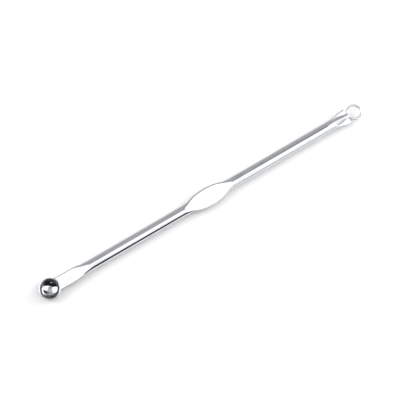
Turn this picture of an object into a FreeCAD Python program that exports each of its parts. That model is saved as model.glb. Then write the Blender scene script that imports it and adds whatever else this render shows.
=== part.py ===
"""Double-ended ear wax cleaner: a round steel handle with a perforated cup at one end and a loop at the other.

The tool lies along X, cup towards -X and loop towards +X, on the plane Z = 0. Its origin is the middle of
its length on that plane. Every piece is modelled about the rod's axis and then raised by half the rod.
Lengths are in millimetres.
"""
import FreeCAD, Part
import math
import os
import Sketcher

DRIVING_SIZES = [
    ("overall_length", 100.0, "from the cup's outer end to the loop's outer end"),
    ("rod_diameter", 3.0, "round stock of the handle"),
    ("cup_diameter", 5.7, "outside of the cup"),
    ("rim_width", 0.3, "thickness of the cup's wall at its rim"),
    ("cup_foot_round", 1.2, "rounding between the cup's wall and its flat foot"),
    ("dish_depth", 1.6, "from the rim down to the lowest point of the dish"),
    ("dish_radius", 4.0, "spherical radius of the dish"),
    ("dish_wall_lean", 0.42, "how far the wall above the dish leans inwards from the mouth"),
    ("drain_diameter", 1.3, "hole through the middle of the dish"),
    ("neck_width", 3.5, "flattened neck, across"),
    ("neck_thickness", 2.2, "flattened neck, top to bottom"),
    ("neck_length", 5.0, "from the cup's wall to the end of the neck's full width"),
    ("neck_runout", 3.2, "from the end of the neck's flat to the round rod"),
    ("neck_edge_round", 0.3, "rounding along the neck's edges"),
    ("grip_offset", 0.95, "grip's middle from the middle of the tool"),
    ("grip_width", 5.1, "leaf-shaped grip, across"),
    ("grip_thickness", 1.4, "leaf-shaped grip, top to bottom"),
    ("grip_side_radius", 16.0, "arc of the leaf's two sides"),
    ("grip_flat_length", 1.0, "full-depth part of the pressed flat"),
    ("grip_runout", 6.9, "from the flat's end up to the round rod, on a long arc"),
    ("grip_edge_round", 0.35, "rounding along the leaf's edges"),
    ("tail_width", 4.2, "fishtail, across its end"),
    ("tail_thickness", 0.75, "thickness of the fishtail's two wings"),
    ("tail_length", 4.7, "from the first pressing of the rod to the fishtail's end"),
    ("tail_shoulder", 1.6, "length of the sloping shoulder between rod and wings"),
    ("tail_side_radius", 9.0, "arc of the fishtail's sides"),
    ("tail_gap", 0.2, "between the fishtail's end and the loop"),
    ("ridge_clear", 0.8, "bare pin between the ridge's tip and the fishtail's end"),
    ("ridge_tip_wall", 0.12, "thickness of the ridge round the pin, at its tip"),
    ("stem_diameter", 1.4, "pin that carries the loop"),
    ("socket_depth", 2.2, "blind hole in the rod behind the wings, which takes the pin"),
    ("loop_bore", 3.25, "clear hole of the loop"),
    ("wire_diameter", 0.6, "wire of the loop"),
    ("cup_braze_reach", 0.7, "brazing between neck and cup, along the neck's side"),
    ("cup_braze_rise", 0.5, "the same brazing, outwards from the neck's side up the cup's wall"),
    ("loop_braze_radius", 0.8, "hollow of the brazing between pin and loop"),
    ("stem_braze_reach", 0.45, "brazing between pin and wings, outwards along the wing"),
    ("stem_braze_rise", 0.25, "the same brazing, from the wing's face up the pin"),
]

SHEET_NAME = "Sizes"
FAR_OUTSIDE = "20"
TINY_OVERRUN = "0.5"
BRAZE_SINK = "0.25"
BRAZE_SHARE_OF_WIRE = "0.8"


def s(alias):
    """Expression text for one cell of the sheet."""
    return SHEET_NAME + "." + alias


ROD_RADIUS = f"({s('rod_diameter')} / 2)"
CUP_RADIUS = f"({s('cup_diameter')} / 2)"
CUP_AXIS_X = f"({CUP_RADIUS} - {s('overall_length')} / 2)"
RIM_HEIGHT = f"({ROD_RADIUS} + {s('neck_thickness')} / 2)"
CUP_MOUTH = f"({CUP_RADIUS} - {s('rim_width')})"
RIM_RADIUS = f"({s('rim_width')} / 2)"
RIM_SPRING = f"({RIM_HEIGHT} - {RIM_RADIUS})"
DISH_EDGE_RADIUS = f"({CUP_MOUTH} - {s('dish_wall_lean')})"
DISH_CENTRE_HEIGHT = f"({RIM_HEIGHT} - {s('dish_depth')} + {s('dish_radius')})"
DRAIN_RADIUS = f"({s('drain_diameter')} / 2)"
NECK_HALF = f"({s('neck_width')} / 2)"
NECK_LEVEL = f"({s('neck_thickness')} / 2)"
NECK_END_X = f"({CUP_AXIS_X} + {CUP_RADIUS} + {s('neck_length')})"
GRIP_X = s("grip_offset")
GRIP_HALF = f"({s('grip_width')} / 2)"
GRIP_LEVEL = f"({s('grip_thickness')} / 2)"
GRIP_FLAT_HALF = f"({s('grip_flat_length')} / 2)"
GRIP_TIP = f"sqrt({s('grip_side_radius')} ^ 2 - ({s('grip_side_radius')} - {GRIP_HALF}) ^ 2)"
WIRE_RADIUS = f"({s('wire_diameter')} / 2)"
LOOP_OUTER_RADIUS = f"({s('loop_bore')} / 2 + {s('wire_diameter')})"
LOOP_RING_RADIUS = f"({s('loop_bore')} / 2 + {WIRE_RADIUS})"
LOOP_AXIS_X = f"({s('overall_length')} / 2 - {LOOP_OUTER_RADIUS})"
TAIL_END_X = f"({LOOP_AXIS_X} - {LOOP_OUTER_RADIUS} - {s('tail_gap')})"
TAIL_START_X = f"({TAIL_END_X} - {s('tail_length')})"
TAIL_HALF = f"({s('tail_width')} / 2)"
TAIL_LEVEL = f"({s('tail_thickness')} / 2)"
STEM_RADIUS = f"({s('stem_diameter')} / 2)"
SOCKET_END_X = f"({TAIL_START_X} - {s('socket_depth')})"
RIDGE_END_X = f"({TAIL_END_X} - {s('ridge_clear')})"


def make_sheet(doc):
    """Spreadsheet with one aliased cell for each driving size."""
    sheet = doc.addObject("Spreadsheet::Sheet", SHEET_NAME)
    for row, (alias, size, note) in enumerate(DRIVING_SIZES, start=1):
        sheet.set(f"A{row}", alias)
        sheet.set(f"B{row}", str(size))
        sheet.set(f"C{row}", note)
        sheet.setAlias(f"B{row}", alias)
    doc.recompute()
    return sheet


def value(sheet, expression):
    """Number that an expression gives with the sheet's present sizes."""
    return float(sheet.evalExpression(expression))


def new_body(doc, name):
    """Empty PartDesign body."""
    body = doc.addObject("PartDesign::Body", name)
    body.Label = name
    return body


def new_sketch(body, name, role):
    """Sketch on one of the body's own origin planes."""
    sketch = body.newObject("Sketcher::SketchObject", name)
    plane = [feature for feature in body.Origin.OriginFeatures if feature.Role == role][0]
    sketch.AttachmentSupport = [(plane, "")]
    sketch.MapMode = "FlatFace"
    return sketch


def pin_coordinate(sketch, kind, geometry, end, expression, number):
    """Hold one end point of a line or arc at a distance from the sketch's origin."""
    index = sketch.addConstraint(Sketcher.Constraint(kind, -1, 1, geometry, end, number))
    sketch.setExpression(f"Constraints[{index}]", expression)


def arc_between(start, end, radius, turn):
    """Arc from start to end of the given radius; turn is 1 for anticlockwise and -1 for clockwise."""
    chord = end - start
    middle = (start + end) / 2
    rise = math.sqrt(max(radius ** 2 - (chord.Length / 2) ** 2, 0.0))
    across = FreeCAD.Vector(-chord.y, chord.x, 0) / chord.Length
    centre = middle + across * rise * turn
    first, last = (start, end) if turn > 0 else (end, start)
    first_angle = math.atan2(first.y - centre.y, first.x - centre.x)
    last_angle = math.atan2(last.y - centre.y, last.x - centre.x)
    circle = Part.Circle(centre, FreeCAD.Vector(0, 0, 1), radius)
    return Part.ArcOfCircle(circle, first_angle, last_angle)


def closed_outline(sheet, sketch, corners):
    """Closed outline through corners of expressions (x, y, radius, turn), each joined to the next.

    A radius of None gives a straight line to the next corner; otherwise an arc of that radius.
    """
    points = [FreeCAD.Vector(value(sheet, c[0]), value(sheet, c[1]), 0) for c in corners]
    ends = []
    for index, corner in enumerate(corners):
        start = points[index]
        end = points[(index + 1) % len(points)]
        radius, turn = corner[2], corner[3]
        if radius is None:
            geometry = sketch.addGeometry(Part.LineSegment(start, end))
            ends.append((geometry, 1, 2))
        else:
            arc = arc_between(start, end, value(sheet, radius), turn)
            geometry = sketch.addGeometry(arc)
            limit = sketch.addConstraint(Sketcher.Constraint("Radius", geometry, value(sheet, radius)))
            sketch.setExpression(f"Constraints[{limit}]", radius)
            ends.append((geometry, 1, 2) if turn > 0 else (geometry, 2, 1))
    for index, corner in enumerate(corners):
        geometry, first, _ = ends[index]
        before, _, last = ends[index - 1]
        sketch.addConstraint(Sketcher.Constraint("Coincident", before, last, geometry, first))
        pin_coordinate(sketch, "DistanceX", geometry, first, corner[0], points[index].x)
        pin_coordinate(sketch, "DistanceY", geometry, first, corner[1], points[index].y)


def mirrored_corners(corners):
    """The same outline on the other side of the X axis, with its arcs turning the other way."""
    flipped = []
    for index in range(len(corners)):
        corner = corners[-index % len(corners)]
        before = corners[(-index - 1) % len(corners)]
        turn = before[3]
        flipped.append((corner[0], f"(0 - {corner[1]})", before[2], turn))
    return flipped


def straight(x, y):
    """Corner that a straight line leaves."""
    return (x, y, None, 0)


def bend(x, y, radius, turn):
    """Corner that an arc leaves."""
    return (x, y, radius, turn)


def pad(body, sketch, name, length, middle=True):
    """Pad of a sketch, to both sides of its plane unless told otherwise."""
    feature = body.newObject("PartDesign::Pad", name)
    feature.Profile = sketch
    feature.SideType = "Symmetric" if middle else "One side"
    feature.setExpression("Length", length)
    sketch.Visibility = False
    return feature


def pocket_through(body, sketch, name):
    """Pocket of a sketch right through the body, to both sides of its plane."""
    feature = body.newObject("PartDesign::Pocket", name)
    feature.Profile = sketch
    feature.SideType = "Symmetric"
    feature.Type = "ThroughAll"
    sketch.Visibility = False
    return feature


def runout_radius(depth, length):
    """Radius of the arc that leaves a flat tangentially and rises by depth over length."""
    return f"(({length}) ^ 2 + ({depth}) ^ 2) / (2 * ({depth}))"


def round_long_edges(doc, body, feature, name, radius):
    """Fillet the edges that lie level, above and below the middle plane, along the blade's two sides."""
    doc.recompute()
    edges = []
    for index, edge in enumerate(feature.Shape.Edges, start=1):
        low, high = edge.BoundBox.ZMin, edge.BoundBox.ZMax
        level = high - low < 1e-6
        lengthwise = edge.BoundBox.XLength > edge.BoundBox.YLength
        if level and lengthwise:
            edges.append(f"Edge{index}")
    fillet = body.newObject("PartDesign::Fillet", name)
    fillet.Base = (feature, edges)
    fillet.setExpression("Radius", radius)
    return fillet


def make_rod(doc, sheet):
    """Round stock, pressed flat from above and below at the neck, at the grip and at the fishtail."""
    body = new_body(doc, "rod_stock")
    section = new_sketch(body, "rod_section", "YZ_Plane")
    circle = section.addGeometry(Part.Circle(FreeCAD.Vector(0, 0, 0), FreeCAD.Vector(0, 0, 1),
                                             value(sheet, ROD_RADIUS)))
    section.addConstraint(Sketcher.Constraint("Coincident", circle, 3, -1, 1))
    limit = section.addConstraint(Sketcher.Constraint("Radius", circle, value(sheet, ROD_RADIUS)))
    section.setExpression(f"Constraints[{limit}]", ROD_RADIUS)
    section.setExpression(".AttachmentOffset.Base.z", CUP_AXIS_X)
    pad(body, section, "rod_length", f"{TAIL_END_X} - {CUP_AXIS_X}", middle=False)

    high = f"({ROD_RADIUS} + {TINY_OVERRUN})"
    neck_rise = f"({ROD_RADIUS} - {NECK_LEVEL})"
    neck_arc = runout_radius(neck_rise, s("neck_runout"))
    neck_cut = [
        straight(f"({CUP_AXIS_X} - {TINY_OVERRUN})", NECK_LEVEL),
        bend(NECK_END_X, NECK_LEVEL, neck_arc, 1),
        straight(f"({NECK_END_X} + {s('neck_runout')})", ROD_RADIUS),
        straight(f"({NECK_END_X} + {s('neck_runout')})", high),
        straight(f"({CUP_AXIS_X} - {TINY_OVERRUN})", high),
    ]
    grip_rise = f"({ROD_RADIUS} - {GRIP_LEVEL})"
    grip_arc = runout_radius(grip_rise, s("grip_runout"))
    grip_cut = [
        bend(f"({GRIP_X} - {GRIP_FLAT_HALF} - {s('grip_runout')})", ROD_RADIUS, grip_arc, 1),
        straight(f"({GRIP_X} - {GRIP_FLAT_HALF})", GRIP_LEVEL),
        bend(f"({GRIP_X} + {GRIP_FLAT_HALF})", GRIP_LEVEL, grip_arc, 1),
        straight(f"({GRIP_X} + {GRIP_FLAT_HALF} + {s('grip_runout')})", ROD_RADIUS),
        straight(f"({GRIP_X} + {GRIP_FLAT_HALF} + {s('grip_runout')})", high),
        straight(f"({GRIP_X} - {GRIP_FLAT_HALF} - {s('grip_runout')})", high),
    ]
    tail_cut = [
        straight(TAIL_START_X, ROD_RADIUS),
        straight(f"({TAIL_START_X} + {s('tail_shoulder')})", TAIL_LEVEL),
        straight(f"({TAIL_END_X} + {TINY_OVERRUN})", TAIL_LEVEL),
        straight(f"({TAIL_END_X} + {TINY_OVERRUN})", high),
        straight(TAIL_START_X, high),
    ]
    for name, corners in (("neck", neck_cut), ("grip", grip_cut), ("tail", tail_cut)):
        for side, outline in (("above", corners), ("below", mirrored_corners(corners))):
            sketch = new_sketch(body, f"{name}_pressed_{side}", "XZ_Plane")
            closed_outline(sheet, sketch, outline)
            pocket_through(body, sketch, f"{name}_flat_{side}")
    return body


def make_neck_blade(doc, sheet):
    """The neck's full width, with rounded edges and shoulders that run into the rod."""
    body = new_body(doc, "neck_blade")
    sketch = new_sketch(body, "neck_outline", "XY_Plane")
    tip_half = f"({ROD_RADIUS} * 0.6)"
    tip_x = f"({NECK_END_X} + {s('neck_runout')})"
    shoulder = runout_radius(f"({NECK_HALF} - {tip_half})", s("neck_runout"))
    closed_outline(sheet, sketch, [
        straight(CUP_AXIS_X, f"(0 - {NECK_HALF})"),
        bend(NECK_END_X, f"(0 - {NECK_HALF})", shoulder, 1),
        straight(tip_x, f"(0 - {tip_half})"),
        bend(tip_x, tip_half, shoulder, 1),
        straight(NECK_END_X, NECK_HALF),
        straight(CUP_AXIS_X, NECK_HALF),
    ])
    blade = pad(body, sketch, "neck_blade_pad", s("neck_thickness"))
    round_long_edges(doc, body, blade, "neck_edges", s("neck_edge_round"))
    return body


def make_grip_blade(doc, sheet):
    """Leaf-shaped finger grip: two arcs that meet inside the rod, with rounded edges."""
    body = new_body(doc, "grip_blade")
    sketch = new_sketch(body, "grip_outline", "XY_Plane")
    closed_outline(sheet, sketch, [
        bend(f"({GRIP_X} - {GRIP_TIP})", "0", s("grip_side_radius"), 1),
        bend(f"({GRIP_X} + {GRIP_TIP})", "0", s("grip_side_radius"), 1),
    ])
    blade = pad(body, sketch, "grip_blade_pad", s("grip_thickness"))
    round_long_edges(doc, body, blade, "grip_edges", s("grip_edge_round"))
    return body


def make_tail_blade(doc, sheet):
    """Fishtail: two thin wings that widen out of the rod's sides."""
    body = new_body(doc, "tail_blade")
    sketch = new_sketch(body, "tail_outline", "XY_Plane")
    root_half = f"({ROD_RADIUS} * 0.8)"
    reach = f"sqrt({s('tail_side_radius')} ^ 2 - ({s('tail_side_radius')} - {TAIL_HALF} + {root_half}) ^ 2)"
    root_x = f"({TAIL_END_X} - {reach})"
    closed_outline(sheet, sketch, [
        bend(root_x, f"(0 - {root_half})", s("tail_side_radius"), 1),
        straight(TAIL_END_X, f"(0 - {TAIL_HALF})"),
        bend(TAIL_END_X, TAIL_HALF, s("tail_side_radius"), 1),
        straight(root_x, root_half),
    ])
    pad(body, sketch, "tail_blade_pad", s("tail_thickness"))
    return body


def upright_cylinder(doc, name, x, radius, height):
    """Cylinder about a vertical axis at x, centred on the rod's axis."""
    cylinder = doc.addObject("Part::Cylinder", name)
    cylinder.setExpression("Radius", radius)
    cylinder.setExpression("Height", height)
    cylinder.setExpression(".Placement.Base.x", x)
    cylinder.setExpression(".Placement.Base.z", f"0 - ({height}) / 2")
    return cylinder


def lying_cylinder(doc, name, start_x, end_x, radius):
    """Cylinder along the rod's axis between two stations."""
    cylinder = doc.addObject("Part::Cylinder", name)
    cylinder.Placement = FreeCAD.Placement(FreeCAD.Vector(), FreeCAD.Rotation(FreeCAD.Vector(0, 1, 0), 90))
    cylinder.setExpression("Radius", radius)
    cylinder.setExpression("Height", f"{end_x} - {start_x}")
    cylinder.setExpression(".Placement.Base.x", start_x)
    return cylinder


def make_ridge(doc):
    """Ridge that tapers from the round rod down to the pin, between the two wings."""
    ridge = doc.addObject("Part::Cone", "tail_ridge")
    ridge.Placement = FreeCAD.Placement(FreeCAD.Vector(), FreeCAD.Rotation(FreeCAD.Vector(0, 1, 0), 90))
    ridge.setExpression("Radius1", ROD_RADIUS)
    ridge.setExpression("Radius2", f"{STEM_RADIUS} + {s('ridge_tip_wall')}")
    ridge.setExpression("Height", f"{RIDGE_END_X} - {TAIL_START_X}")
    ridge.setExpression(".Placement.Base.x", TAIL_START_X)
    return ridge


def cut(doc, name, base, tool):
    """Base without tool."""
    result = doc.addObject("Part::Cut", name)
    result.Base = base
    result.Tool = tool
    return result


def fuse(doc, name, shapes):
    """Union of shapes, cleaned of the lines between them."""
    result = doc.addObject("Part::MultiFuse", name)
    result.Shapes = shapes
    result.Refine = True
    return result


def raise_to_floor(feature, label):
    """Name a finished piece and lift it from the rod's axis so that the rod lies on Z = 0."""
    feature.Label = label
    feature.setExpression(".Placement.Base.z", ROD_RADIUS)
    return feature


def make_handle(doc, sheet):
    """Handle: pressed rod, neck, grip and ridged fishtail in one, coped to the cup and bored for the pin."""
    whole = fuse(doc, "handle_blank", [
        make_rod(doc, sheet),
        make_neck_blade(doc, sheet),
        make_grip_blade(doc, sheet),
        make_tail_blade(doc, sheet),
        make_ridge(doc),
    ])
    cope = upright_cylinder(doc, "cup_cope", CUP_AXIS_X, CUP_RADIUS, FAR_OUTSIDE)
    coped = cut(doc, "handle_coped", whole, cope)
    socket = lying_cylinder(doc, "stem_socket", SOCKET_END_X, f"({TAIL_END_X} + {TINY_OVERRUN})", STEM_RADIUS)
    return raise_to_floor(cut(doc, "handle", coped, socket), "handle")


def make_cup(doc, sheet):
    """Turned cup: flat foot, full-round rim, spherical dish with a short wall above it and a hole through it."""
    body = new_body(doc, "cup")
    sketch = new_sketch(body, "cup_profile", "XZ_Plane")
    foot_edge = f"({CUP_RADIUS} - {s('cup_foot_round')})"
    dish_edge = f"({DISH_CENTRE_HEIGHT} - sqrt({s('dish_radius')} ^ 2 - {DISH_EDGE_RADIUS} ^ 2))"
    drain_mouth = f"({DISH_CENTRE_HEIGHT} - sqrt({s('dish_radius')} ^ 2 - {DRAIN_RADIUS} ^ 2))"
    closed_outline(sheet, sketch, [
        straight(DRAIN_RADIUS, "0"),
        bend(foot_edge, "0", s("cup_foot_round"), 1),
        straight(CUP_RADIUS, s("cup_foot_round")),
        bend(CUP_RADIUS, RIM_SPRING, RIM_RADIUS, 1),
        bend(f"({CUP_RADIUS} - {RIM_RADIUS})", RIM_HEIGHT, RIM_RADIUS, 1),
        straight(CUP_MOUTH, RIM_SPRING),
        bend(DISH_EDGE_RADIUS, dish_edge, s("dish_radius"), -1),
        straight(DRAIN_RADIUS, drain_mouth),
    ])
    turned = body.newObject("PartDesign::Revolution", "cup_turned")
    turned.Profile = sketch
    turned.ReferenceAxis = (sketch, ["V_Axis"])
    turned.Angle = 360
    body.setExpression(".Placement.Base.x", CUP_AXIS_X)
    return body


def make_loop(doc):
    """Loop: a closed ring of wire, lying level with the rod's axis."""
    ring = doc.addObject("Part::Torus", "loop_ring")
    ring.setExpression("Radius1", LOOP_RING_RADIUS)
    ring.setExpression("Radius2", WIRE_RADIUS)
    ring.setExpression(".Placement.Base.x", LOOP_AXIS_X)
    return raise_to_floor(ring, "loop_ring")


def ring_tool(doc, name):
    """The loop's own space, about the rod's axis, for cutting what meets it."""
    ring = doc.addObject("Part::Torus", name)
    ring.setExpression("Radius1", LOOP_RING_RADIUS)
    ring.setExpression("Radius2", WIRE_RADIUS)
    ring.setExpression(".Placement.Base.x", LOOP_AXIS_X)
    return ring


def stem_end_tool(doc, name):
    """Space that the pin must leave free: inside the loop's centre line, and the wire itself."""
    inside = upright_cylinder(doc, name + "_inside", LOOP_AXIS_X, LOOP_RING_RADIUS, FAR_OUTSIDE)
    return fuse(doc, name, [inside, ring_tool(doc, name + "_wire")])


def make_stem(doc):
    """Pin that fills the socket, lies between the wings and is coped to the loop's wire."""
    pin = lying_cylinder(doc, "stem_pin", SOCKET_END_X, LOOP_AXIS_X, STEM_RADIUS)
    return raise_to_floor(cut(doc, "loop_stem", pin, stem_end_tool(doc, "stem_end")), "loop_stem")


def cut_clear(doc, body, neighbours, label):
    """The body without the space of the pieces that it joins."""
    shape = body
    for index, neighbour in enumerate(neighbours[:-1], start=1):
        shape = cut(doc, f"{label}_trim_{index}", shape, neighbour)
    result = cut(doc, label, shape, neighbours[-1])
    result.Label = label
    return result


def tangent_fillet(wall, level, fillet):
    """Where a fillet touches a round wall and a straight line beside it.

    The wall is a circle about the origin and the line runs parallel to the first axis at the given level.
    The fillet's centre is its own radius above the line and the sum of the radii from the origin. Gives
    the distance along the line to the contact there, and the two coordinates of the contact on the wall.
    """
    along = f"sqrt(({wall} + {fillet}) ^ 2 - ({level} + {fillet}) ^ 2)"
    share = f"({wall} / ({wall} + {fillet}))"
    return along, f"({share} * {along})", f"({share} * ({level} + {fillet}))"


def make_corner_braze(doc, sheet, label, outline, levels, neighbours):
    """Brazing in the two corners, one each side, where a straight-sided piece meets an upright round wall.

    outline is the left side's, sunk a little into the neighbours, whose space is then cut from it.
    """
    low, high = levels
    body = new_body(doc, label + "_fill")
    body.AllowCompound = True
    for side, corners in (("left", outline), ("right", mirrored_corners(outline))):
        sketch = new_sketch(body, f"{label}_{side}", "XY_Plane")
        sketch.setExpression(".AttachmentOffset.Base.z", low)
        closed_outline(sheet, sketch, corners)
        pad(body, sketch, f"{label}_{side}_pad", f"{high} - {low}", middle=False)
        doc.recompute()
    body.setExpression(".Placement.Base.z", ROD_RADIUS)
    return cut_clear(doc, body, neighbours, label)


def make_cup_braze(doc, sheet, handle, cup):
    """Brazing between the neck's sides and the cup's upright wall, with a flat face across each corner."""
    reach, rise = s("cup_braze_reach"), s("cup_braze_rise")
    outer_x = f"({CUP_AXIS_X} + sqrt({CUP_RADIUS} ^ 2 - {NECK_HALF} ^ 2) + {reach})"
    wall_y = f"({NECK_HALF} + {rise})"
    wall_x = f"({CUP_AXIS_X} + sqrt({CUP_RADIUS} ^ 2 - {wall_y} ^ 2))"
    sunk_x = f"({wall_x} - {reach} * {BRAZE_SINK})"
    sunk_half = f"({NECK_HALF} - {reach} * {BRAZE_SINK})"
    outline = [
        straight(sunk_x, sunk_half),
        straight(outer_x, sunk_half),
        straight(outer_x, NECK_HALF),
        straight(wall_x, wall_y),
        straight(sunk_x, wall_y),
    ]
    levels = (f"({s('cup_foot_round')} - {ROD_RADIUS})", f"({RIM_SPRING} - {ROD_RADIUS})")
    wall_middle = f"({CUP_RADIUS} - {RIM_RADIUS})"
    inside = upright_cylinder(doc, "cup_braze_inside", CUP_AXIS_X, wall_middle, FAR_OUTSIDE)
    return make_corner_braze(doc, sheet, "cup_braze", outline, levels, [inside, handle, cup])


def make_loop_braze(doc, sheet, stem, ring):
    """Brazing in the two corners between the pin and the loop, each a hollow arc that touches both."""
    fillet = s("loop_braze_radius")
    along, touch_x, touch_y = tangent_fillet(LOOP_OUTER_RADIUS, STEM_RADIUS, fillet)
    outer_x = f"({LOOP_AXIS_X} - {along})"
    wall_x = f"({LOOP_AXIS_X} - {touch_x})"
    sunk_x = f"({wall_x} + {fillet} * {BRAZE_SINK})"
    sunk_half = f"({STEM_RADIUS} - {fillet} * {BRAZE_SINK})"
    outline = [
        straight(sunk_x, sunk_half),
        straight(outer_x, sunk_half),
        bend(outer_x, STEM_RADIUS, fillet, 1),
        straight(wall_x, touch_y),
        straight(sunk_x, touch_y),
    ]
    high = f"({WIRE_RADIUS} * {BRAZE_SHARE_OF_WIRE})"
    inside = upright_cylinder(doc, "loop_braze_inside", LOOP_AXIS_X, LOOP_RING_RADIUS, FAR_OUTSIDE)
    return make_corner_braze(doc, sheet, "loop_braze", outline, (f"(0 - {high})", high), [inside, stem, ring])


def make_stem_braze(doc, sheet, side, handle, stem):
    """Brazing along the bare pin on one side, with flat faces across the corners above and below the wing."""
    label = f"stem_braze_{side}"
    body = new_body(doc, label + "_fill")
    sketch = new_sketch(body, label + "_section", "YZ_Plane")
    sketch.setExpression(".AttachmentOffset.Base.z", RIDGE_END_X)
    reach = f"(sqrt({STEM_RADIUS} ^ 2 - {TAIL_LEVEL} ^ 2) + {s('stem_braze_reach')})"
    crest_z = f"({TAIL_LEVEL} + {s('stem_braze_rise')})"
    crest_y = f"sqrt({STEM_RADIUS} ^ 2 - {crest_z} ^ 2)"
    section = [
        straight(crest_y, crest_z),
        straight(crest_y, f"(0 - {crest_z})"),
        straight(reach, f"(0 - {TAIL_LEVEL})"),
        straight(reach, TAIL_LEVEL),
    ]
    if side == "right":
        section = [straight(f"(0 - {across})", up) for across, up, _, _ in section]
    closed_outline(sheet, sketch, section)
    pad(body, sketch, label + "_pad", s("ridge_clear"), middle=False)
    body.setExpression(".Placement.Base.z", ROD_RADIUS)
    return cut_clear(doc, body, [handle, stem], label)


def report_failures(doc):
    """Stop if any object of the document failed to build."""
    for item in doc.Objects:
        bad = [state for state in item.State if state in ("Invalid", "Error")]
        if bad:
            raise RuntimeError(f"{item.Name} is {bad}")


def main():
    """Build the tool and write one STEP file for each piece."""
    os.makedirs("parts", exist_ok=True)
    doc = FreeCAD.newDocument("ear_wax_cleaner")
    sheet = make_sheet(doc)
    handle = make_handle(doc, sheet)
    cup = make_cup(doc, sheet)
    stem = make_stem(doc)
    ring = make_loop(doc)
    doc.recompute()
    pieces = [
        handle,
        cup,
        stem,
        ring,
        make_cup_braze(doc, sheet, handle, cup),
        make_loop_braze(doc, sheet, stem, ring),
        make_stem_braze(doc, sheet, "left", handle, stem),
        make_stem_braze(doc, sheet, "right", handle, stem),
    ]
    doc.recompute()
    report_failures(doc)
    for piece in pieces:
        shape = piece.Shape
        if shape.isNull() or not shape.isValid():
            raise RuntimeError(f"{piece.Label} has no valid shape")
        shape.exportStep(f"parts/{piece.Label}.step")
        print(piece.Label, "solids", len(shape.Solids), "volume", round(shape.Volume, 4), shape.BoundBox)


main()
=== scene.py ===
"""Visual model of a double-ended ear wax cleaner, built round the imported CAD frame.

The tool lies along X on the floor at Z = 0, with its cup towards -X and its wire loop towards +X. Shapes are
worked out in millimetres in that frame and turned into metres where a mesh is made.
"""
from __future__ import annotations

import logging
import math
from dataclasses import dataclass, field
from enum import Enum
from functools import reduce
from typing import Sequence

import bpy
import numpy as np
from mathutils import Matrix, Vector


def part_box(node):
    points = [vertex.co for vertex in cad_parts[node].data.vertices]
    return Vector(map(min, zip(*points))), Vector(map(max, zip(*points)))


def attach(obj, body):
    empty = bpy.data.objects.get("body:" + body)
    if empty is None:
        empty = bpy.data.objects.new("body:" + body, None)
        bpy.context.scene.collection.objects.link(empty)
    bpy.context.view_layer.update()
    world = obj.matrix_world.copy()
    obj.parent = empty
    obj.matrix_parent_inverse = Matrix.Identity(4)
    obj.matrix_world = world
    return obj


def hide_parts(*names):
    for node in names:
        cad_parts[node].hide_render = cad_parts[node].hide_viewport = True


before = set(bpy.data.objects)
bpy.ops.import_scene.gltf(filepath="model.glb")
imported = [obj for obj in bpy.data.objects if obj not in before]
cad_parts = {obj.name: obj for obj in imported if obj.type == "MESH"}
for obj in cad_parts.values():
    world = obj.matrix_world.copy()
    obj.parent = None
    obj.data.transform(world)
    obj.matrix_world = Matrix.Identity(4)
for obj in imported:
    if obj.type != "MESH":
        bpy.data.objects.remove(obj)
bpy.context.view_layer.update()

Array = np.ndarray
Socket = bpy.types.NodeSocket
Point = tuple[float, float]
Triple = tuple[float, float, float]

MM = 0.001
BODY = "root"
SHARP_ANGLE = math.radians(38.0)
TINY = 1e-9
SHORT_STEPS = 8
MIX_COLOURS = (6, 7)
MIX_RESULT = 2

log = logging.getLogger("ear_wax_cleaner")


class Slot(Enum):
    """Material slots of the record."""

    STEEL = "polished_steel"
    BRAZE = "silver_braze"


class Side(Enum):
    """The two sides of the tool's long upright plane."""

    LEFT = 1
    RIGHT = -1


# --- Numbers and surfaces ---


def full_turn(count: int) -> Array:
    """Evenly spaced angles of one full turn, in radians, from 0."""
    return np.linspace(0.0, 2.0 * math.pi, count, endpoint=False)


def lengths(vectors: Array) -> Array:
    """Length of each vector on the last axis."""
    return np.linalg.norm(vectors, axis=-1)


def grid_points(along: Array, across: Array, up: Array) -> Array:
    """Points from their three parts, each stretched to the grid that they share."""
    return np.stack(np.broadcast_arrays(along, across, up), axis=-1)


def smooth_min(first: Array, second: Array | float, width: float) -> Array:
    """Lower of two values, less width / 4 times the square of 1 - difference / width, where it's above 0."""
    share = np.maximum(width - np.abs(first - second), 0.0) / width
    return np.minimum(first, second) - share ** 2 * width / 4.0


def smooth_max(first: Array, second: Array | float, width: float) -> Array:
    """Higher of two values, with the corner between them eased as in smooth_min."""
    return -smooth_min(-first, -second, width)


def smooth_step(value: Array, low: float, high: float) -> Array:
    """Rise from 0 at low to 1 at high, level at both ends: 3 q^2 - 2 q^3 of the share q between them."""
    share = np.clip((value - low) / (high - low), 0.0, 1.0)
    return share * share * (3.0 - 2.0 * share)


def arc_drop(distance: Array, radius: float) -> Array:
    """How far an arc has left its tangent: the radius less the root of radius^2 - distance^2."""
    reach = np.clip(np.abs(distance), 0.0, radius)
    return radius - np.sqrt(radius ** 2 - reach ** 2)


def arc_points(centre: Point, radius: float, start: float, end: float, count: int) -> Array:
    """Points on an arc between two angles in degrees: the centre plus the radius in each direction."""
    angles = np.radians(np.linspace(start, end, count))
    return np.stack([centre[0] + radius * np.cos(angles), centre[1] + radius * np.sin(angles)], axis=1)


def divide_closed(corners: Array, count: int) -> Array:
    """Points at equal steps along a closed line, found by interpolation over its running length.

    Args:
        corners: Points of the closed line, of shape (n, k).
        count: Number of points wanted.

    Returns:
        Array of shape (count, k) that starts at the first corner.
    """
    ring = np.vstack([corners, corners[:1]])
    running = np.concatenate([[0.0], np.cumsum(lengths(np.diff(ring, axis=0)))])
    wanted = np.linspace(0.0, running[-1], count, endpoint=False)
    return np.stack([np.interp(wanted, running, part) for part in ring.T], axis=1)


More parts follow.
